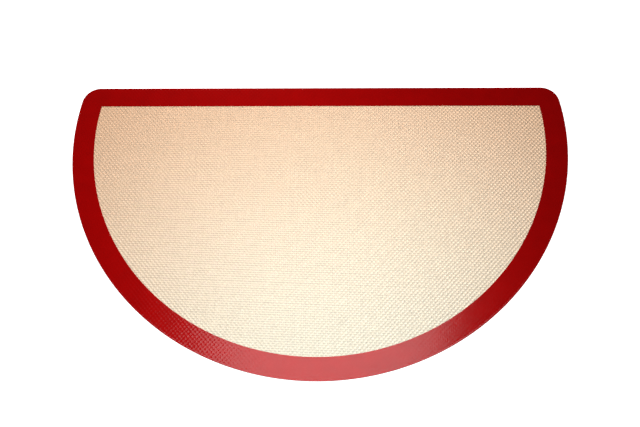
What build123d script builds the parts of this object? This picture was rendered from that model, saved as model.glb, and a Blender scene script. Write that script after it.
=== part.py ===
"""Half-moon silicone baking mat.

A glass-fibre cloth is bedded between two coats of clear silicone, which meet each other past its
cut edge. A red silicone band is printed over the margin of each coat, and a red bead of silicone
closes the rim. The mat is flat, as it is used: its underside lies on Z = 0, its straight edge
faces +Y, its round edge faces -Y, and the origin is under the middle of its bounding box.
Lengths are in millimetres.
"""
from build123d import *
import os

# The outline: a round mat with one side cut straight
outer_radius = 190.0
straight_edge_offset = 41.0     # from the centre of the round edge to the straight edge
corner_radius = 14.0            # where the straight edge meets the round one

# The border and the bead that closes the rim
border_width = 16.5             # from the rim to the inner edge of the red border
band_thickness = 0.08
seal_width = 1.2                # how far the bead reaches in from the rim
seal_edge_radius = 0.3
largest_round_share = 0.45      # most of the bead's height that one rounded edge may take

# The cloth and the silicone over it
cloth_thickness = 0.26          # the warp and weft yarns where they cross
cloth_margin = 1.8              # silicone between the cloth's cut edge and the bead
coat_cover = 0.22               # silicone over each side of the cloth

# Heights of the layers, from the underside up
bottom_coat_base = band_thickness
cloth_base = bottom_coat_base + coat_cover
middle = cloth_base + cloth_thickness / 2
cloth_top = cloth_base + cloth_thickness
top_coat_top = cloth_top + coat_cover
mat_thickness = top_coat_top + band_thickness

# Places in plan
straight_edge_y = (outer_radius + straight_edge_offset) / 2
round_center_y = straight_edge_y - straight_edge_offset


def half_moon(inset):
    """The mat's outline, drawn in from the rim by inset. Past the corner radius it is sharp."""
    with BuildSketch() as outline:
        with Locations((0, round_center_y)):
            Circle(outer_radius - inset)
        with Locations((0, straight_edge_y - inset)):
            Rectangle(
                2 * outer_radius, outer_radius,
                align=(Align.CENTER, Align.MIN), mode=Mode.SUBTRACT,
            )
        if corner_radius > inset:
            fillet(outline.vertices().group_by(Axis.Y)[-1], corner_radius - inset)
    return outline.sketch


rim_outline = half_moon(0)
coat_outline = half_moon(seal_width)
cloth_outline = half_moon(seal_width + cloth_margin)
field_outline = half_moon(border_width)

# Woven glass-fibre cloth: it holds the mat's size and keeps it flat
with BuildPart() as glass_fibre_cloth:
    with BuildSketch(Plane.XY.offset(cloth_base)):
        add(cloth_outline)
    extrude(amount=cloth_thickness)
glass_fibre_cloth.part.label = "glass_fibre_cloth"

# Clear silicone under the cloth, with the lower half of the cloth's bed in it
with BuildPart() as bottom_silicone_coat:
    with BuildSketch(Plane.XY.offset(bottom_coat_base)):
        add(coat_outline)
    extrude(amount=middle - bottom_coat_base)
    with BuildSketch(Plane.XY.offset(cloth_base)):
        add(cloth_outline)
    extrude(amount=middle - cloth_base, mode=Mode.SUBTRACT)
bottom_silicone_coat.part.label = "bottom_silicone_coat"

# Clear silicone over the cloth, with the upper half of its bed: the side that holds the food
with BuildPart() as top_silicone_coat:
    with BuildSketch(Plane.XY.offset(middle)):
        add(coat_outline)
    extrude(amount=top_coat_top - middle)
    with BuildSketch(Plane.XY.offset(middle)):
        add(cloth_outline)
    extrude(amount=cloth_top - middle, mode=Mode.SUBTRACT)
top_silicone_coat.part.label = "top_silicone_coat"

# Red band printed over the margin of the underside, which the mat rests on
with BuildPart() as bottom_border_band:
    with BuildSketch():
        add(coat_outline)
        add(field_outline, mode=Mode.SUBTRACT)
    extrude(amount=band_thickness)
bottom_border_band.part.label = "bottom_border_band"

# Red band printed over the margin of the top
with BuildPart() as top_border_band:
    with BuildSketch(Plane.XY.offset(top_coat_top)):
        add(coat_outline)
        add(field_outline, mode=Mode.SUBTRACT)
    extrude(amount=band_thickness)
top_border_band.part.label = "top_border_band"

# Red bead round the cut edge, with its rim rounded top and bottom
with BuildPart() as edge_seal:
    with BuildSketch():
        add(rim_outline)
        add(coat_outline, mode=Mode.SUBTRACT)
    extrude(amount=mat_thickness)
    flat_faces = edge_seal.faces().sort_by(Axis.Z)
    rim_edges = flat_faces[0].outer_wire().edges() + flat_faces[-1].outer_wire().edges()
    fillet(rim_edges, min(seal_edge_radius, largest_round_share * mat_thickness))
edge_seal.part.label = "edge_seal"

os.makedirs("parts", exist_ok=True)
export_step(glass_fibre_cloth.part, "parts/glass_fibre_cloth.step")
export_step(bottom_silicone_coat.part, "parts/bottom_silicone_coat.step")
export_step(top_silicone_coat.part, "parts/top_silicone_coat.step")
export_step(bottom_border_band.part, "parts/bottom_border_band.step")
export_step(top_border_band.part, "parts/top_border_band.step")
export_step(edge_seal.part, "parts/edge_seal.step")
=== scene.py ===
from math import atan2, pi, radians, sqrt

import bmesh
import bpy
import numpy as np
from mathutils import Matrix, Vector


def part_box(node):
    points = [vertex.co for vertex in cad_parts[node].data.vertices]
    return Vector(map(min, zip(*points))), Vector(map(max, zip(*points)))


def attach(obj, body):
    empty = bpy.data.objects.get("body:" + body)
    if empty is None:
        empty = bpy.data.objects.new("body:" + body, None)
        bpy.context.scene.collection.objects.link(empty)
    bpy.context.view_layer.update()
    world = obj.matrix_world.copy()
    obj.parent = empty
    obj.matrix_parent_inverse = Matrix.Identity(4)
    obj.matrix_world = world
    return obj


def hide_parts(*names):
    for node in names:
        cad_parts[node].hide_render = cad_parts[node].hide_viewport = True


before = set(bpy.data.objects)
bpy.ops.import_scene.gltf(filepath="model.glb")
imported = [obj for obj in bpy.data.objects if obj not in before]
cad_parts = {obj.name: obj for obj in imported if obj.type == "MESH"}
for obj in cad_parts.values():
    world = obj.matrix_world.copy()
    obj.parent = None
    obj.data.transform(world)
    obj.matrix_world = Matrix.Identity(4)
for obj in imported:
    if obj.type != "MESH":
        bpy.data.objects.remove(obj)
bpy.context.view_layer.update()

bl_info = {
    "name": "Half-moon Baking Mat",
    "version": (1, 0, 0),
    "blender": (4, 5, 0),
    "location": "3D View > Sidebar > Baking Mat",
    "description": "Makes a half-moon silicone baking mat with its woven glass cloth",
    "category": "Object",
}

MM = 0.001
BODY = "root"
SHARPEST_SMOOTH_ANGLE = radians(50)
# Where a colour Mix node keeps its two colours and its result
MIX_FIRST, MIX_SECOND, MIX_RESULT = 6, 7, 2
# A wave texture of scale 1 repeats after this length
WAVE_PERIOD = pi / 10
# Most values of a noise texture lie between these
NOISE_LOW, NOISE_HIGH = 0.3, 0.7
SILICONE_IOR = 1.41
RED_SILICONE = "red silicone, screen-printed"
WHITE = (1, 1, 1, 1)
# Steps along the round side and the straight side of each outline
CLOTH_STEPS, FILM_STEPS, PRINT_STEPS, BEAD_STEPS = (1600, 900), (700, 300), (1640, 700), (900, 400)
CLOTH_SEED, PRINT_SEED = 3, 7
# Each way's yarns are shared out over this many meshes, so that none is too heavy
BUNDLES = 3
FLOOR_HALF_SIDE = 3.0

# Places and heights, read from the frame
RIM_LOW, RIM_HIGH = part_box("edge_seal")
CLOTH_LOW, CLOTH_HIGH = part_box("glass_fibre_cloth")
BOTTOM_COAT_LOW, BOTTOM_COAT_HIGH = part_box("bottom_silicone_coat")
TOP_COAT_LOW, TOP_COAT_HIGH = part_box("top_silicone_coat")
OUTER_RADIUS = (RIM_HIGH.x - RIM_LOW.x) / 2
STRAIGHT_EDGE_Y = RIM_HIGH.y
ROUND_CENTRE_Y = RIM_LOW.y + OUTER_RADIUS
SEAL_WIDTH = TOP_COAT_LOW.x - RIM_LOW.x
CLOTH_INSET = CLOTH_LOW.x - RIM_LOW.x
MAT_THICKNESS = RIM_HIGH.z
CLOTH_MIDDLE = (CLOTH_LOW.z + CLOTH_HIGH.z) / 2
# Left of the first, the mat looks as at its left end, and right of the second, as at its right
LEFT_LOOK_X, RIGHT_LOOK_X = -60 * MM, 130 * MM


def linear(hex_colour):
    """The linear RGB values of an sRGB hex colour."""
    shares = [int(hex_colour[at:at + 2], 16) / 255 for at in (1, 3, 5)]
    return tuple(s / 12.92 if s <= 0.04045 else ((s + 0.055) / 1.055) ** 2.4 for s in shares)


class MatSettings(bpy.types.PropertyGroup):
    """Sizes and colours of the mat that the frame doesn't give."""

    corner_radius: bpy.props.FloatProperty(
        name="Corner Radius", description="Where the straight edge meets the round one",
        default=14 * MM, min=2 * MM, unit="LENGTH", precision=5,
    )
    border_width: bpy.props.FloatProperty(
        name="Border Width", description="From the rim to the inner edge of the red border",
        default=16.5 * MM, min=13 * MM, unit="LENGTH", precision=5,
    )
    print_bleed: bpy.props.FloatProperty(
        name="Print Bleed", description="How far the border's inner edge wanders along the yarns",
        default=0.06 * MM, min=0, unit="LENGTH", precision=6,
    )
    # Painted light and shade: the red is drawn lighter near its lit place by the middle of the round
    # edge, where the lamp's light and sheen fall strongest, and darker away from it and towards its
    # right end
    red_lit: bpy.props.FloatVectorProperty(
        name="Fresh Red", description="Colour of the border before any darkening",
        default=linear("#BF0303"), subtype="COLOR", min=0, max=1,
    )
    red_shaded: bpy.props.FloatVectorProperty(
        name="Darkened Red", description="Colour of the border where it is darkened most",
        default=linear("#970101"), subtype="COLOR", min=0, max=1,
    )
    red_lit_place: bpy.props.FloatVectorProperty(
        name="Fresh Red Place", description="The darkening grows with the distance from here",
        default=(31 * MM, -140 * MM, 0), subtype="TRANSLATION",
    )
    red_shaded_reach: bpy.props.FloatProperty(
        name="Darkened Reach", description="How far from there it is darkened most",
        default=221 * MM, min=10 * MM, unit="LENGTH",
    )
    red_right_shade: bpy.props.FloatProperty(
        name="Right Tone", description="Tone of the border's right end against its left end",
        default=0.77, min=0.1, max=1,
    )
    clear: bpy.props.FloatVectorProperty(
        name="Clear Silicone", description="Haze of the two clear coats",
        default=linear("#E9D5B8"), subtype="COLOR", min=0, max=1,
    )


class ClothSettings(bpy.types.PropertyGroup):
    """The woven glass-fibre cloth inside the mat."""

    warp_pitch: bpy.props.FloatProperty(
        name="Warp Pitch", description="Distance between the yarns that lie along Y",
        default=1.53 * MM, min=0.5 * MM, unit="LENGTH", precision=6,
    )
    weft_pitch: bpy.props.FloatProperty(
        name="Weft Pitch", description="Distance between the yarns that lie along X",
        default=1.70 * MM, min=0.5 * MM, unit="LENGTH", precision=6,
    )
    warp_width: bpy.props.FloatProperty(
        name="Warp Width", description="Width of a flattened warp yarn",
        default=1.46 * MM, min=0.1 * MM, unit="LENGTH", precision=6,
    )
    weft_width: bpy.props.FloatProperty(
        name="Weft Width", description="Width of a flattened weft yarn",
        default=1.36 * MM, min=0.1 * MM, unit="LENGTH", precision=6,
    )
    warp_thickness: bpy.props.FloatProperty(
        name="Warp Thickness", description="Thickness of a flattened warp yarn",
        default=0.08 * MM, min=0.01 * MM, unit="LENGTH", precision=6,
    )
    weft_thickness: bpy.props.FloatProperty(
        name="Weft Thickness", description="Thickness of a flattened weft yarn",
        default=0.10 * MM, min=0.01 * MM, unit="LENGTH", precision=6,
    )
    weft_crimp: bpy.props.FloatProperty(
        name="Weft Crimp",
        description="How far the weft rises and dips. The warp reaches the cloth's faces",
        default=0.02 * MM, min=0, unit="LENGTH", precision=6,
    )
    weft_slope: bpy.props.FloatProperty(
        name="Weft Slope", description="How far the weft runs off square across the warp",
        default=-0.034, min=-0.2, max=0.2,
    )
    relief: bpy.props.FloatProperty(
        name="Relief", description="How far the yarns lift the silicone over them",
        default=0.05 * MM, min=0, unit="LENGTH", precision=6,
    )
    shaded_relief_left: bpy.props.FloatProperty(
        name="Shaded Relief, Left",
        description="Height that the crossings at the left shade as if they had",
        default=0.38 * MM, min=0, unit="LENGTH", precision=6,
    )
    shaded_relief_right: bpy.props.FloatProperty(
        name="Shaded Relief, Right", description="The same at the right, where the weave shows more",
        default=0.52 * MM, min=0, unit="LENGTH", precision=6,
    )
    # Painted shade: the deepest parts of the yarns are drawn darker, for the shade in the weave's low
    # places, and darker at the right than at the left
    deep_shade_left: bpy.props.FloatProperty(
        name="Deep Tone, Left",
        description="Tone of the deepest yarns at the left, under the silicone",
        default=0.68, min=0, max=1,
    )
    deep_shade_right: bpy.props.FloatProperty(
        name="Deep Tone, Right", description="Tone of the deepest yarns at the right",
        default=0.58, min=0, max=1,
    )
    stray: bpy.props.FloatProperty(
        name="Stray", description="How far a yarn lies out of place, as a share of the pitch",
        default=0.03, min=0, max=0.2,
    )
    # Painted light and shade: towards the right the warp is drawn lighter and the weft darker, for the
    # weave's stronger shading there
    warp_right_shading: bpy.props.FloatProperty(
        name="Warp's Right Tone", description="Tone of the warp at the right against the left",
        default=1.20, min=0.1, max=1.5,
    )
    weft_right_shading: bpy.props.FloatProperty(
        name="Weft's Right Tone", description="Tone of the weft at the right against the left",
        default=0.92, min=0.1, max=1.5,
    )
    # Painted light and shade: the yarns are drawn near white at their lit place past the middle of the
    # round edge, where the lamp's light and sheen fall strongest, and turn to their own tan away from
    # it
    warp_lit: bpy.props.FloatVectorProperty(
        name="Fresh Warp", description="Colour of the warp before any browning",
        default=linear("#F7FEF1"), subtype="COLOR", min=0, max=1,
    )
    warp_shaded: bpy.props.FloatVectorProperty(
        name="Browned Warp", description="Colour of the warp where it is browned most",
        default=linear("#ECB789"), subtype="COLOR", min=0, max=1,
    )
    weft_lit: bpy.props.FloatVectorProperty(
        name="Fresh Weft", description="Colour of the weft before any browning",
        default=linear("#F3F9EB"), subtype="COLOR", min=0, max=1,
    )
    weft_shaded: bpy.props.FloatVectorProperty(
        name="Browned Weft", description="Colour of the weft where it is browned most",
        default=linear("#E4AC7E"), subtype="COLOR", min=0, max=1,
    )
    lit_place: bpy.props.FloatVectorProperty(
        name="Fresh Place", description="The browning grows with the distance from here",
        default=(32 * MM, -225 * MM, 0), subtype="TRANSLATION",
    )
    shaded_reach: bpy.props.FloatProperty(
        name="Browned Reach", description="How far from there it is browned most",
        default=477 * MM, min=10 * MM, unit="LENGTH",
    )


class StudioSettings(bpy.types.PropertyGroup):
    """The camera, the lamps and the floor."""

    camera_place: bpy.props.FloatVectorProperty(
        name="Camera Place", description="Where the camera stands",
        default=(17.4 * MM, -210.3 * MM, 512.0 * MM), subtype="TRANSLATION",
    )
    camera_elevation: bpy.props.FloatProperty(
        name="Camera Elevation", description="How far the camera looks down from level",
        default=radians(66.89), subtype="ANGLE",
    )
    camera_heading: bpy.props.FloatProperty(
        name="Camera Heading", description="How far the camera looks to the left of +Y",
        default=radians(4.03), subtype="ANGLE",
    )
    camera_roll: bpy.props.FloatProperty(
        name="Camera Roll", description="How far the camera is tilted about its own line of sight",
        default=radians(-3.60), subtype="ANGLE",
    )
    camera_lens: bpy.props.FloatProperty(
        name="Lens", description="Focal length in millimetres", default=42.4, min=10,
    )
    key_place: bpy.props.FloatVectorProperty(
        name="Key Place", description="Where the soft box over the mat hangs",
        default=(0, -12 * MM, 316 * MM), subtype="TRANSLATION",
    )
    key_size: bpy.props.FloatProperty(
        name="Key Size", description="Side of the soft box over the mat",
        default=264 * MM, min=10 * MM, unit="LENGTH",
    )
    key_power: bpy.props.FloatProperty(
        name="Key Power", description="Power of the soft box over the mat",
        default=1.41, min=0, unit="POWER",
    )
    back_place: bpy.props.FloatVectorProperty(
        name="Back Place", description="Where the soft box behind the mat hangs",
        default=(-204 * MM, 800 * MM, 400 * MM), subtype="TRANSLATION",
    )
    back_size: bpy.props.FloatProperty(
        name="Back Size", description="Side of the soft box behind the mat",
        default=150 * MM, min=10 * MM, unit="LENGTH",
    )
    back_power: bpy.props.FloatProperty(
        name="Back Power", description="Power of the soft box behind the mat",
        default=6.1, min=0, unit="POWER",
    )
    room_light: bpy.props.FloatProperty(
        name="Room Light", description="Strength of the light from all round", default=0.04, min=0,
    )
    floor_glow: bpy.props.FloatProperty(
        name="Floor Glow", description="With the lamps' light it makes the floor white to the camera",
        default=0.92, min=0, max=1,
    )


def add_node(tree, kind, inputs=None, **settings):
    """Adds a node with its settings. An input takes a number, a colour or another node's output."""
    made = tree.nodes.new(kind)
    for name, value in settings.items():
        setattr(made, name, value)
    for name, value in (inputs or {}).items():
        if isinstance(value, bpy.types.NodeSocket):
            tree.links.new(value, made.inputs[name])
        else:
            made.inputs[name].default_value = value
    return made


def new_material(name):
    """An empty node material and its tree."""
    material = bpy.data.materials.new(name)
    material.use_nodes = True
    material.node_tree.nodes.clear()
    return material, material.node_tree


def opaque(colour):
    """A colour with its alpha."""
    return (*colour, 1.0)


def arc(centre_x, centre_y, radius, start, end, steps=720):
    """Points on an arc, from one angle to another."""
    turn = np.linspace(start, end, steps + 1)
    return np.column_stack([centre_x + radius * np.cos(turn), centre_y + radius * np.sin(turn)])


def evenly(points, steps):
    """The same line with its points evenly spaced, less the last one."""
    length = np.concatenate([[0], np.cumsum(np.hypot(*np.diff(points, axis=0).T))])
    at = np.linspace(0, length[-1], steps + 1)[:-1]
    return np.column_stack([np.interp(at, length, points[:, axis]) for axis in (0, 1)])


def outline(inset, corner_radius, steps):
    """The mat's outline drawn in from the rim, from the middle of the right corner clockwise."""
    round_steps, straight_steps = steps
    round_radius = OUTER_RADIUS - inset
    line_y = STRAIGHT_EDGE_Y - inset
    if inset < corner_radius:
        corner_y = STRAIGHT_EDGE_Y - corner_radius
        corner_x = sqrt((OUTER_RADIUS - corner_radius) ** 2 - (corner_y - ROUND_CENTRE_Y) ** 2)
        small = corner_radius - inset
    else:
        corner_y = line_y
        corner_x = sqrt(round_radius ** 2 - (corner_y - ROUND_CENTRE_Y) ** 2)
        small = 0
    joint = atan2(corner_y - ROUND_CENTRE_Y, corner_x)
    middle = (joint + pi / 2) / 2
    round_side = np.vstack([
        arc(corner_x, corner_y, small, middle, joint),
        arc(0, ROUND_CENTRE_Y, round_radius, joint, -pi - joint),
        arc(-corner_x, corner_y, small, pi - joint, pi - middle),
    ])
    straight_side = np.vstack([
        arc(-corner_x, corner_y, small, pi - middle, pi / 2),
        arc(corner_x, corner_y, small, pi / 2, middle),
    ])
    return np.vstack([evenly(round_side, round_steps), evenly(straight_side, straight_steps)])


def new_piece(name, points, faces, material, slot_name, *nodes):
    """A closed mesh whose faces look outwards, on the mat's body, in place of the nodes named."""
    mesh = bpy.data.meshes.new(name)
    mesh.from_pydata(np.asarray(points).tolist(), [], faces)
    shape = bmesh.new()
    shape.from_mesh(mesh)
    if shape.calc_volume(signed=True) < 0:
        bmesh.ops.reverse_faces(shape, faces=shape.faces)
    shape.to_mesh(mesh)
    shape.free()
    mesh.materials.append(material)
    mesh.shade_smooth()
    mesh.set_sharp_from_angle(angle=SHARPEST_SMOOTH_ANGLE)
    piece = bpy.data.objects.new(name, mesh)
    bpy.context.scene.collection.objects.link(piece)
    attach(piece, BODY)
    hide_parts(*nodes)
    return piece


def ring(rows):
    """Points and faces of a closed ring, from rows of points that go round its section."""
    points = np.concatenate(rows)
    count, around = len(rows), len(rows[0])
    row, column = np.meshgrid(np.arange(count), np.arange(around), indexing="ij")
    next_row, next_column = (row + 1) % count, (column + 1) % around
    corners = [(row, column), (row, next_column), (next_row, next_column), (next_row, column)]
    faces = np.stack([a * around + b for a, b in corners], axis=-1).reshape(-1, 4)
    return points, faces.tolist()


def at_height(line, height):
    """A flat line with a height, or a height for each point."""
    return np.column_stack([line, np.broadcast_to(height, len(line))])


def weave_lift(x, y, cloth):
    """How much of the full relief the cloth gives at a place: 1 on a crossing, 0 in a gap."""
    y = y - cloth.weft_slope * x
    return (np.cos(pi * x / cloth.warp_pitch) ** 2 + np.cos(pi * y / cloth.weft_pitch) ** 2) / 2


def shade_painted(tree, place, lit_colour, most, lit_place, reach):
    """A colour that turns from the lit colour to the shaded one with the distance from the lit place:
    painted light and painted shade.
    """
    away = add_node(
        tree, "ShaderNodeVectorMath", {0: place, 1: lit_place}, operation="DISTANCE",
    )
    share = add_node(
        tree, "ShaderNodeMapRange",
        {"Value": away.outputs["Value"], "From Max": reach},
        interpolation_type="SMOOTHSTEP",
    )
    mixed = add_node(
        tree, "ShaderNodeMix",
        {"Factor": share.outputs["Result"], MIX_FIRST: opaque(lit_colour), MIX_SECOND: opaque(most)},
        data_type="RGBA",
    )
    return mixed.outputs[MIX_RESULT]


def weave_height(tree, place, cloth):
    """The weave's own relief: 1 on a crossing where the warp is on top, -1 where the weft is."""
    sloped = (-cloth.weft_slope, 1, 0)
    waves = []
    for across, pitch in (((1, 0, 0), cloth.warp_pitch), (sloped, cloth.weft_pitch)):
        side = add_node(tree, "ShaderNodeVectorMath", {0: place, 1: across}, operation="DOT_PRODUCT")
        turn = add_node(
            tree, "ShaderNodeMath", {0: side.outputs["Value"], 1: pi / pitch}, operation="MULTIPLY",
        )
        waves.append(add_node(tree, "ShaderNodeMath", {0: turn.outputs[0]}, operation="COSINE"))
    both = add_node(
        tree, "ShaderNodeMath", {0: waves[0].outputs[0], 1: waves[1].outputs[0]}, operation="MULTIPLY",
    )
    return both.outputs[0]


def rightwards(tree, place, left, right):
    """A value that goes smoothly from one at the mat's left to another at its right."""
    x = add_node(tree, "ShaderNodeSeparateXYZ", {"Vector": place}).outputs["X"]
    value = add_node(
        tree, "ShaderNodeMapRange",
        {"Value": x, "From Min": LEFT_LOOK_X, "From Max": RIGHT_LOOK_X,
         "To Min": left, "To Max": right},
        interpolation_type="SMOOTHSTEP",
    )
    return value.outputs["Result"]


def mottled(tree, colour, pattern, low, high):
    """A colour whose tone wanders from low to high, in the patches of a noise with these inputs."""
    patches = add_node(tree, "ShaderNodeTexNoise", pattern)
    tone = add_node(
        tree, "ShaderNodeMapRange",
        {"Value": patches.outputs["Fac"], "From Min": NOISE_LOW, "From Max": NOISE_HIGH,
         "To Min": low, "To Max": high},
    )
    tinted = add_node(
        tree, "ShaderNodeHueSaturation", {"Color": colour, "Value": tone.outputs["Result"]},
    )
    return tinted.outputs["Color"]


def glass_yarn_material(name, lit_colour, most, right_shading, across, pitch, deep, proud, cloth):
    """E-glass yarn, untwisted and woven, in one direction. Across points over from yarn to yarn."""
    # Wetted by silicone, it is a pale satin ribbon with faint lines of filament along it. Its
    # tone drifts along each yarn and from yarn to yarn. From the height proud down to deep it
    # is drawn darker, as painted shade in the weave's low places
    tones = 0.95, 1.03
    tone_length = 25 * MM
    # Filaments are 0.009 mm. They are drawn coarser, to show
    filament_spacing = 0.2 * MM
    material, tree = new_material(name)
    place = add_node(tree, "ShaderNodeTexCoord").outputs["Object"]
    side = add_node(
        tree, "ShaderNodeVectorMath", {0: place, 1: across}, operation="DOT_PRODUCT",
    ).outputs["Value"]
    along = add_node(
        tree, "ShaderNodeVectorMath", {0: place, 1: (across[1], across[0], 0)},
        operation="DOT_PRODUCT",
    ).outputs["Value"]
    # A tone lasts for about one yarn across and the tone's length along
    by_yarn = add_node(tree, "ShaderNodeMath", {0: side, 1: pitch}, operation="DIVIDE")
    by_length = add_node(tree, "ShaderNodeMath", {0: along, 1: tone_length}, operation="DIVIDE")
    stretched = add_node(
        tree, "ShaderNodeCombineXYZ", {"X": by_yarn.outputs[0], "Y": by_length.outputs[0]},
    )
    # Painted light and shade: towards the right this yarn is drawn lighter or darker, for the weave's
    # shading there
    low, high = [rightwards(tree, place, tone, tone * right_shading) for tone in tones]
    # Painted light and shade: paler near the lit place, darker away from it
    tinted = mottled(
        tree, shade_painted(tree, place, lit_colour, most, cloth.lit_place, cloth.shaded_reach),
        {"Vector": stretched.outputs["Vector"], "Scale": 1.0, "Detail": 1.0}, low, high,
    )
    # Painted shade: the lower this part of the yarn lies, the darker it is drawn
    height = add_node(tree, "ShaderNodeSeparateXYZ", {"Vector": place}).outputs["Z"]
    off_middle = add_node(
        tree, "ShaderNodeMath", {0: height, 1: CLOTH_MIDDLE}, operation="SUBTRACT",
    )
    depth = add_node(tree, "ShaderNodeMath", {0: off_middle.outputs[0]}, operation="ABSOLUTE")
    depth_shade = add_node(
        tree, "ShaderNodeMapRange",
        {"Value": depth.outputs[0], "From Min": deep, "From Max": proud,
         "To Min": rightwards(tree, place, cloth.deep_shade_left, cloth.deep_shade_right),
         "To Max": 1.0},
    )
    dimmed = add_node(
        tree, "ShaderNodeHueSaturation", {"Color": tinted, "Value": depth_shade.outputs["Result"]},
    )
    line = add_node(tree, "ShaderNodeCombineXYZ", {"X": side})
    filaments = add_node(
        tree, "ShaderNodeTexWave",
        {"Vector": line.outputs["Vector"], "Scale": WAVE_PERIOD / filament_spacing},
    )
    bump = add_node(
        tree, "ShaderNodeBump",
        {"Height": filaments.outputs["Fac"], "Strength": 0.3, "Distance": 0.01 * MM},
    )
    # The warp rises about 0.1 mm, the weft less. Both shade as if they rose more, to show from
    # the camera
    crowns = add_node(
        tree, "ShaderNodeBump",
        {"Height": weave_height(tree, place, cloth), "Strength": 1.0,
         "Distance": rightwards(tree, place, cloth.shaded_relief_left, cloth.shaded_relief_right),
         "Normal": bump.outputs["Normal"]},
    )
    surface = add_node(
        tree, "ShaderNodeBsdfPrincipled",
        {"Base Color": dimmed.outputs["Color"], "Roughness": 0.6,
         "Normal": crowns.outputs["Normal"]},
    )
    add_node(tree, "ShaderNodeOutputMaterial", {"Surface": surface.outputs["BSDF"]})
    return material


def clear_coat_material(colour):
    """Clear food-grade silicone, knife-coated."""
    # It is a satin film with a faint warm haze, and the cloth shows through it
    cloud_size, grain_size = 12 * MM, 0.8 * MM
    low, high = 0.97, 1.03
    material, tree = new_material("clear silicone, knife-coated")
    place = add_node(tree, "ShaderNodeTexCoord").outputs["Object"]
    tinted = mottled(
        tree, opaque(colour), {"Vector": place, "Scale": 1 / cloud_size, "Detail": 2.0}, low, high,
    )
    skin = add_node(
        tree, "ShaderNodeTexNoise", {"Vector": place, "Scale": 1 / grain_size, "Detail": 2.0},
    )
    bump = add_node(
        tree, "ShaderNodeBump",
        {"Height": skin.outputs["Fac"], "Strength": 0.2, "Distance": 0.02 * MM},
    )
    surface = add_node(
        tree, "ShaderNodeBsdfPrincipled",
        {"Base Color": tinted, "Roughness": 0.35, "IOR": SILICONE_IOR, "Alpha": 0.1,
         "Normal": bump.outputs["Normal"]},
    )
    add_node(tree, "ShaderNodeOutputMaterial", {"Surface": surface.outputs["BSDF"]})
    return material


def fill_material(cloth):
    """Clear silicone, pressed into the cloth as it is coated."""
    # It is seen only in the small windows between yarns, where it is deep enough to look solid.
    # It is drawn darker than the yarns, as painted shade in those windows
    cloud_size = 5 * MM
    # Painted shade: the fill is drawn at these shares of the weft's colour, for the shade in the
    # windows between yarns
    low, high = 0.6, 0.7
    material, tree = new_material("clear silicone, pressed into the cloth")
    place = add_node(tree, "ShaderNodeTexCoord").outputs["Object"]
    colour = shade_painted(
        tree, place, cloth.weft_lit, cloth.weft_shaded, cloth.lit_place, cloth.shaded_reach,
    )
    tinted = mottled(
        tree, colour, {"Vector": place, "Scale": 1 / cloud_size, "Detail": 3.0}, low, high,
    )
    surface = add_node(
        tree, "ShaderNodeBsdfPrincipled",
        {"Base Color": tinted, "Roughness": 0.5, "IOR": SILICONE_IOR},
    )
    add_node(tree, "ShaderNodeOutputMaterial", {"Surface": surface.outputs["BSDF"]})
    return material


def red_silicone_material(mat, cloth):
    """Pigmented silicone ink, screen-printed."""
    # It is an opaque deep red with a satin skin and a faint mottle. It is painted lighter near its
    # lit place and darker away from it and towards the right: painted light and painted shade
    tones = 0.94, 1.05
    cloud_size, grain_size = 11 * MM, 1.2 * MM
    # Height of the weave under the ink, as it shades at the left and at the right
    weave_left, weave_right = 0.03 * MM, 0.01 * MM
    material, tree = new_material(RED_SILICONE)
    place = add_node(tree, "ShaderNodeTexCoord").outputs["Object"]
    # Painted shade: towards its right end the red is drawn darker
    low, high = [rightwards(tree, place, tone, tone * mat.red_right_shade) for tone in tones]
    tinted = mottled(
        tree, shade_painted(tree, place, mat.red_lit, mat.red_shaded, mat.red_lit_place, mat.red_shaded_reach),
        {"Vector": place, "Scale": 1 / cloud_size, "Detail": 4.0}, low, high,
    )
    skin = add_node(
        tree, "ShaderNodeTexNoise", {"Vector": place, "Scale": 1 / grain_size, "Detail": 3.0},
    )
    bump = add_node(
        tree, "ShaderNodeBump",
        {"Height": skin.outputs["Fac"], "Strength": 0.35, "Distance": 0.03 * MM},
    )
    # The weave shows through the ink only where the shine ends, and most at the left
    weave = add_node(
        tree, "ShaderNodeBump",
        {"Height": weave_height(tree, place, cloth), "Strength": 1.0,
         "Distance": rightwards(tree, place, weave_left, weave_right),
         "Normal": bump.outputs["Normal"]},
    )
    surface = add_node(
        tree, "ShaderNodeBsdfPrincipled",
        {"Base Color": tinted, "Roughness": 0.19, "IOR": SILICONE_IOR,
         "Specular IOR Level": 0.31, "Normal": weave.outputs["Normal"]},
    )
    add_node(tree, "ShaderNodeOutputMaterial", {"Surface": surface.outputs["BSDF"]})
    return material


def red_silicone(scene):
    """The one material that the bands and the bead share."""
    made = bpy.data.materials.get(RED_SILICONE)
    return made or red_silicone_material(scene.mat_sizes, scene.mat_cloth)


def cut_ends(line, axis, place):
    """The lowest and highest place on a closed line where it is cut across an axis."""
    ahead = np.roll(line, -1, axis=0)
    near, far = line[:, axis] - place, ahead[:, axis] - place
    cut = near * far < 0
    share = near[cut] / (near[cut] - far[cut])
    found = line[cut, 1 - axis] + share * (ahead[cut, 1 - axis] - line[cut, 1 - axis])
    return (found.min(), found.max()) if len(found) else None


def yarn_places(pitch, stray, generator):
    """Where the yarns of one direction lie, across the whole mat and a little past it."""
    # An even count puts the warp on top at the origin, as the weave's height has it
    count = 2 * (int(OUTER_RADIUS / pitch / 2) + 1)
    return (np.arange(-count, count + 1) + generator.normal(0, stray, 2 * count + 1)) * pitch


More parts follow.
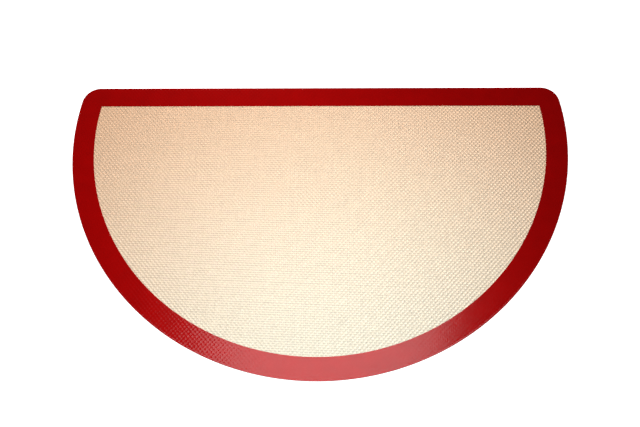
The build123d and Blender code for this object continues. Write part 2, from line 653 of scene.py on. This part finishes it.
def woven_yarns(edge, axis, places, crossed, width, thickness, crimp, rises_on):
    """Flat yarns side by side across one axis. Each goes over and under those that it crosses."""
    points, faces = [], []
    # On a crossing a yarn lies level for half the pitch, and then it slopes to the next one
    ramp = np.diff(crossed).mean() / 4
    section = [(-width / 2, 0), (0, thickness / 2), (width / 2, 0), (0, -thickness / 2)]
    sides = len(section)
    for index, place in enumerate(places):
        ends = [cut_ends(edge, axis, place + side * width / 2) for side in (-1, 1)]
        if None in ends:
            continue
        low, high = max(end[0] for end in ends), min(end[1] for end in ends)
        # A yarn comes back to the middle at both ends, and this leaves it room for that
        crossings = np.flatnonzero((crossed > low + 2 * ramp) & (crossed < high - 2 * ramp))
        if not len(crossings):
            continue
        # It goes over every second crossing. rises_on says which, and differs for warp and weft
        sign = np.where((crossings + index) % 2 == rises_on, 1.0, -1.0)
        along = np.repeat(crossed[crossings], 2)
        along[0::2] -= ramp
        along[1::2] += ramp
        along = np.concatenate([[low], along, [high]])
        height = CLOTH_MIDDLE + np.concatenate([[0], np.repeat(sign, 2), [0]]) * crimp
        yarn = np.zeros((len(along), sides, 3))
        for corner, (side, lift) in enumerate(section):
            yarn[:, corner, axis] = place + side
            yarn[:, corner, 1 - axis] = along
            yarn[:, corner, 2] = height + lift
        first = sum(len(part) for part in points)
        points.append(yarn.reshape(-1, 3))
        step, corner = np.meshgrid(np.arange(len(along) - 1), np.arange(sides), indexing="ij")
        next_corner = (corner + 1) % sides
        quads = np.stack([
            step * sides + corner, step * sides + next_corner,
            (step + 1) * sides + next_corner, (step + 1) * sides + corner,
        ], axis=-1).reshape(-1, 4)
        last = (len(along) - 1) * sides
        caps = [list(range(sides))[::-1], list(range(last, last + sides))]
        faces.append(np.vstack([quads, caps]) + first)
    return points, faces


def in_bundles(points, faces, bundles):
    """Splits the yarns into bundles of like size, each with its own points and faces."""
    starts = np.concatenate([[0], np.cumsum([len(part) for part in points])])
    shares = np.linspace(0, starts[-1], bundles + 1)
    owner = np.clip(np.searchsorted(shares, starts[:-1], side="right") - 1, 0, bundles - 1)
    for bundle in range(bundles):
        mine = np.flatnonzero(owner == bundle)
        first = int(starts[mine[0]])
        own_faces = (np.concatenate([faces[at] for at in mine]) - first).tolist()
        yield np.concatenate([points[at] for at in mine]), own_faces


class BAKINGMAT_OT_glass_cloth(bpy.types.Operator):
    """Weave the glass-fibre cloth, yarn by yarn"""

    bl_idname = "baking_mat.glass_cloth"
    bl_label = "Glass Cloth"

    def execute(self, context):
        cloth, mat = context.scene.mat_cloth, context.scene.mat_sizes
        generator = np.random.default_rng(CLOTH_SEED)
        edge = outline(CLOTH_INSET, mat.corner_radius, CLOTH_STEPS)
        # The cloth is woven square, in an outline with its slope taken out, and sloped after that
        edge[:, 1] -= cloth.weft_slope * edge[:, 0]
        warp_crimp = (CLOTH_HIGH.z - CLOTH_LOW.z - cloth.warp_thickness) / 2
        warp = yarn_places(cloth.warp_pitch, cloth.stray, generator)
        weft = yarn_places(cloth.weft_pitch, cloth.stray, generator)
        warp_material = glass_yarn_material(
            "E-glass yarn, warp", cloth.warp_lit, cloth.warp_shaded, cloth.warp_right_shading,
            across=(1, 0, 0), pitch=cloth.warp_pitch,
            deep=cloth.warp_thickness / 2, proud=warp_crimp, cloth=cloth,
        )
        weft_material = glass_yarn_material(
            "E-glass yarn, weft", cloth.weft_lit, cloth.weft_shaded, cloth.weft_right_shading,
            across=(-cloth.weft_slope, 1, 0), pitch=cloth.weft_pitch,
            deep=0, proud=cloth.weft_thickness / 4, cloth=cloth,
        )
        warp_yarns = woven_yarns(
            edge, 0, warp, weft, cloth.warp_width, cloth.warp_thickness, warp_crimp, rises_on=0,
        )
        weft_yarns = woven_yarns(
            edge, 1, weft, warp, cloth.weft_width, cloth.weft_thickness, cloth.weft_crimp,
            rises_on=1,
        )
        for name, (points, faces), material in (
            ("warp", warp_yarns, warp_material), ("weft", weft_yarns, weft_material),
        ):
            for number, (own, own_faces) in enumerate(in_bundles(points, faces, BUNDLES), 1):
                own[:, 1] += cloth.weft_slope * own[:, 0]
                new_piece(
                    f"glass_{name}_yarns_{number}", own, own_faces, material,
                    "glass_cloth", "glass_fibre_cloth",
                )
        return {"FINISHED"}


def field_grid(cloth, inset):
    """Points on the crossings and midway between them, inside the outline, and their faces."""
    step_x, step_y = cloth.warp_pitch / 2, cloth.weft_pitch / 2
    radius, line_y = OUTER_RADIUS - inset, STRAIGHT_EDGE_Y - inset
    across = np.arange(-int(radius / step_x), int(radius / step_x) + 1) * step_x
    spare = abs(cloth.weft_slope) * radius
    first, last = int((ROUND_CENTRE_Y - radius - spare) / step_y), int((line_y + spare) / step_y)
    x, y = np.meshgrid(across, np.arange(first, last + 1) * step_y)
    y = y + cloth.weft_slope * x
    inside = (np.hypot(x, y - ROUND_CENTRE_Y) < radius) & (y < line_y)
    whole = inside[:-1, :-1] & inside[1:, :-1] & inside[:-1, 1:] & inside[1:, 1:]
    used = np.zeros_like(inside)
    for part in (used[:-1, :-1], used[1:, :-1], used[:-1, 1:], used[1:, 1:]):
        part |= whole
    number = np.cumsum(used).reshape(used.shape) - 1
    faces = np.stack([
        number[:-1, :-1][whole], number[:-1, 1:][whole],
        number[1:, 1:][whole], number[1:, :-1][whole],
    ], axis=-1)
    return x[used], y[used], faces.tolist()


class BAKINGMAT_OT_silicone_coats(bpy.types.Operator):
    """Cast the clear silicone over and under the cloth"""

    bl_idname = "baking_mat.silicone_coats"
    bl_label = "Silicone Coats"

    def execute(self, context):
        cloth, mat = context.scene.mat_cloth, context.scene.mat_sizes
        edge = outline(SEAL_WIDTH, mat.corner_radius, FILM_STEPS)
        material = clear_coat_material(mat.clear)
        self.film("top", TOP_COAT_HIGH.z, CLOTH_HIGH.z, cloth, mat, edge, material)
        self.film("bottom", BOTTOM_COAT_LOW.z, CLOTH_LOW.z, cloth, mat, edge, material)
        self.fill(cloth, mat, edge)
        return {"FINISHED"}

    def film(self, side, outer, inner, cloth, mat, edge, material):
        """The film over one side of the cloth, lifted where yarns cross under it."""
        # The weave's grid goes on under the border by this much
        hidden_margin = 3 * MM
        # The film stays this far off the cloth, so that no faces coincide
        bond = 0.01 * MM
        outwards = 1 if outer > inner else -1
        x, y, faces = field_grid(cloth, mat.border_width - hidden_margin)
        height = outer - outwards * cloth.relief * (1 - weave_lift(x, y, cloth))
        shape = bmesh.new()
        field = [shape.verts.new(place) for place in zip(x, y, height)]
        for corners in faces:
            shape.faces.new([field[at] for at in corners])
        proud = [shape.verts.new((*place, outer)) for place in edge]
        bonded = [shape.verts.new((*place, inner + outwards * bond)) for place in edge]
        rim = [shape.edges.new((a, b)) for a, b in zip(proud, proud[1:] + proud[:1])]
        open_edges = [e for e in shape.edges if e.is_boundary]
        bmesh.ops.triangle_fill(shape, edges=rim + open_edges, use_beauty=True)
        for at in range(len(edge)):
            after = (at + 1) % len(edge)
            shape.faces.new([proud[at], proud[after], bonded[after], bonded[at]])
        shape.faces.new(bonded)
        bmesh.ops.recalc_face_normals(shape, faces=shape.faces)
        mesh = bpy.data.meshes.new("film")
        shape.to_mesh(mesh)
        shape.free()
        points = np.array([v.co for v in mesh.vertices])
        piece = new_piece(
            f"{side}_silicone_film", points, [list(f.vertices) for f in mesh.polygons],
            material, "clear_silicone", f"{side}_silicone_coat",
        )
        bpy.data.meshes.remove(mesh)
        # Clear silicone takes no light from the cloth under it
        piece.visible_shadow = False
        after = np.roll(edge, -1, axis=0)

    def fill(self, cloth, mat, edge):
        """Silicone between the yarns and past the cloth's edge, where the two coats meet."""
        bed = outline(CLOTH_INSET, mat.corner_radius, FILM_STEPS)
        # In the windows between yarns its faces lie this far off the cloth's middle
        off_middle = 0.02 * MM
        rows = [
            at_height(bed, CLOTH_MIDDLE - off_middle), at_height(bed, CLOTH_LOW.z),
            at_height(edge, CLOTH_LOW.z), at_height(edge, CLOTH_HIGH.z),
            at_height(bed, CLOTH_HIGH.z), at_height(bed, CLOTH_MIDDLE + off_middle),
        ]
        points, faces = ring(rows)
        around = len(edge)
        # Two flat lids, one each side of the middle, take the place of the ring's last strip
        faces = faces[:(len(rows) - 1) * around]
        faces.append(list(range((len(rows) - 1) * around, len(rows) * around)))
        faces.append(list(range(around))[::-1])
        new_piece(
            "silicone_fill", points, faces, fill_material(cloth),
            "clear_silicone", "bottom_silicone_coat",
        )


class BAKINGMAT_OT_border_bands(bpy.types.Operator):
    """Print the red border on both sides"""

    bl_idname = "baking_mat.border_bands"
    bl_label = "Border Bands"

    def execute(self, context):
        cloth, mat = context.scene.mat_cloth, context.scene.mat_sizes
        rows_across = 34
        # Shares of the ink's thickness: what a gap in the weave takes away, and what is left at
        # the print's two edges
        gap_share, edge_share = 0.5, 0.45
        # How far the inner edge strays by chance, against how far it follows the weave
        chance = 0.4
        outer = outline(SEAL_WIDTH, mat.corner_radius, PRINT_STEPS)
        inner = outline(mat.border_width, mat.corner_radius, PRINT_STEPS)
        # The ink creeps further along the warp where it rises, on every other crossing
        risen = np.cos(pi * inner[:, 0] / cloth.warp_pitch)
        risen *= np.cos(pi * (inner[:, 1] - cloth.weft_slope * inner[:, 0]) / cloth.weft_pitch)
        wander = risen + np.random.default_rng(PRINT_SEED).normal(0, chance, len(inner))
        inwards = inner - outer
        inwards /= np.hypot(*inwards.T)[:, None]
        inner = inner + inwards * (wander * mat.print_bleed)[:, None]
        for name, base, top in (
            ("top", TOP_COAT_HIGH.z, MAT_THICKNESS),
            ("bottom", BOTTOM_COAT_LOW.z, RIM_LOW.z),
        ):
            rows = [at_height(inner, base)]
            for share in np.linspace(0, 1, rows_across + 1):
                line = inner + (outer - inner) * share
                lift = 1 - gap_share * (1 - weave_lift(line[:, 0], line[:, 1], cloth))
                kept = edge_share if share in (0, 1) else 1
                rows.append(at_height(line, base + (top - base) * lift * kept))
            rows.append(at_height(outer, base))
            points, faces = ring(rows)
            new_piece(
                f"{name}_border_print", points, faces, red_silicone(context.scene),
                "red_silicone", f"{name}_border_band",
            )
        return {"FINISHED"}


class BAKINGMAT_OT_edge_seal(bpy.types.Operator):
    """Run the red bead round the cut edge"""

    bl_idname = "baking_mat.edge_seal"
    bl_label = "Edge Seal"

    def execute(self, context):
        mat = context.scene.mat_sizes
        rounding, round_steps = 0.34 * MM, 6
        # The seam groove starts at this share of the bead's width
        seam_share, seam_drop = 0.8, 0.05 * MM
        turn = np.linspace(0, pi / 2, round_steps + 1)
        rise = rounding * (1 - np.cos(turn))
        draw_in = rounding * (1 - np.sin(turn))
        # The section goes round by pairs of inset from the rim and height
        profile = [(SEAL_WIDTH, 0.0)]
        profile += list(zip(draw_in[::-1], rise))
        profile += list(zip(draw_in, (MAT_THICKNESS - rise)[::-1]))
        profile += [
            (SEAL_WIDTH * seam_share, MAT_THICKNESS), (SEAL_WIDTH, MAT_THICKNESS - seam_drop),
        ]
        rows = [
            at_height(outline(inset, mat.corner_radius, BEAD_STEPS), height)
            for inset, height in profile
        ]
        points, faces = ring(rows)
        new_piece(
            "edge_seal_bead", points, faces, red_silicone(context.scene), "red_silicone", "edge_seal",
        )
        return {"FINISHED"}


def add_soft_box(name, place, size, power):
    """A square lamp that looks straight down and isn't seen itself."""
    light = bpy.data.lights.new(name, "AREA")
    light.shape, light.size, light.energy = "SQUARE", size, power
    lamp = bpy.data.objects.new(name, light)
    lamp.location = place
    lamp.visible_camera = False
    bpy.context.scene.collection.objects.link(lamp)


class BAKINGMAT_OT_stage(bpy.types.Operator):
    """Lay the pale floor, hang the lamps and place the camera"""

    bl_idname = "baking_mat.stage"
    bl_label = "Stage"

    def execute(self, context):
        studio = context.scene.mat_studio
        self.floor(studio.floor_glow)
        self.room(context.scene, studio.room_light)
        add_soft_box(
            "soft box over the mat", studio.key_place, studio.key_size, studio.key_power,
        )
        add_soft_box(
            "soft box behind", studio.back_place, studio.back_size, studio.back_power,
        )
        self.camera(context.scene, studio)
        context.scene.view_settings.view_transform = "Standard"
        return {"FINISHED"}

    def floor(self, strength):
        """A pale matt floor that keeps the mat's shadow and is otherwise white to the camera."""
        corners = [(-1, -1), (1, -1), (1, 1), (-1, 1)]
        mesh = bpy.data.meshes.new("floor")
        places = [(FLOOR_HALF_SIDE * x, FLOOR_HALF_SIDE * y, 0) for x, y in corners]
        mesh.from_pydata(places, [], [(0, 1, 2, 3)])
        material, tree = new_material("white laminate, matt")
        seen = add_node(tree, "ShaderNodeLightPath").outputs["Is Camera Ray"]
        share = add_node(tree, "ShaderNodeMath", {0: seen, 1: strength}, operation="MULTIPLY")
        glow = add_node(
            tree, "ShaderNodeEmission", {"Color": WHITE, "Strength": share.outputs[0]},
        )
        matt = add_node(tree, "ShaderNodeBsdfDiffuse", {"Color": opaque(linear("#F2F2F2"))})
        both = add_node(tree, "ShaderNodeAddShader", {0: glow.outputs[0], 1: matt.outputs[0]})
        add_node(tree, "ShaderNodeOutputMaterial", {"Surface": both.outputs[0]})
        mesh.materials.append(material)
        floor = bpy.data.objects.new("floor", mesh)
        bpy.context.scene.collection.objects.link(floor)

    def room(self, scene, strength):
        """Even light from all round, which the camera sees as white."""
        world = bpy.data.worlds.new("studio")
        world.use_nodes = True
        tree = world.node_tree
        tree.nodes.clear()
        path = add_node(tree, "ShaderNodeLightPath")
        level = add_node(
            tree, "ShaderNodeMapRange",
            {"Value": path.outputs["Is Camera Ray"], "To Min": strength, "To Max": 1.0},
        )
        light = add_node(
            tree, "ShaderNodeBackground", {"Color": WHITE, "Strength": level.outputs["Result"]},
        )
        add_node(tree, "ShaderNodeOutputWorld", {"Surface": light.outputs[0]})
        scene.world = world

    def camera(self, scene, studio):
        """The camera looks down at the mat from over its round edge."""
        data = bpy.data.cameras.new("camera")
        data.lens = studio.camera_lens
        camera = bpy.data.objects.new("camera", data)
        turned = (
            Matrix.Rotation(studio.camera_heading, 4, "Z")
            @ Matrix.Rotation(pi / 2 - studio.camera_elevation, 4, "X")
            @ Matrix.Rotation(studio.camera_roll, 4, "Z")
        )
        camera.matrix_world = Matrix.Translation(studio.camera_place) @ turned
        scene.collection.objects.link(camera)
        scene.camera = camera


class BAKINGMAT_PT_panel(bpy.types.Panel):
    """Lists the mat's pieces in the sidebar"""

    bl_label = "Baking Mat"
    bl_idname = "BAKINGMAT_PT_panel"
    bl_space_type = "VIEW_3D"
    bl_region_type = "UI"
    bl_category = "Baking Mat"

    def draw(self, context):
        for operator in OPERATORS:
            self.layout.operator(operator.bl_idname)
        for group in SETTINGS:
            box = self.layout.box()
            settings = getattr(context.scene, group)
            for name in settings.bl_rna.properties.keys():
                if name not in ("rna_type", "name"):
                    box.prop(settings, name)


OPERATORS = (
    BAKINGMAT_OT_glass_cloth,
    BAKINGMAT_OT_silicone_coats,
    BAKINGMAT_OT_border_bands,
    BAKINGMAT_OT_edge_seal,
    BAKINGMAT_OT_stage,
)
SETTINGS = {"mat_sizes": MatSettings, "mat_cloth": ClothSettings, "mat_studio": StudioSettings}


def register():
    for group, kind in SETTINGS.items():
        bpy.utils.register_class(kind)
        setattr(bpy.types.Scene, group, bpy.props.PointerProperty(type=kind))
    for kind in (*OPERATORS, BAKINGMAT_PT_panel):
        bpy.utils.register_class(kind)


def unregister():
    for kind in (BAKINGMAT_PT_panel, *reversed(OPERATORS)):
        bpy.utils.unregister_class(kind)
    for group, kind in SETTINGS.items():
        delattr(bpy.types.Scene, group)
        bpy.utils.unregister_class(kind)


def main():
    register()
    bpy.ops.baking_mat.glass_cloth()
    bpy.ops.baking_mat.silicone_coats()
    bpy.ops.baking_mat.border_bands()
    bpy.ops.baking_mat.edge_seal()
    bpy.ops.baking_mat.stage()


if __name__ == "__main__":
    main()
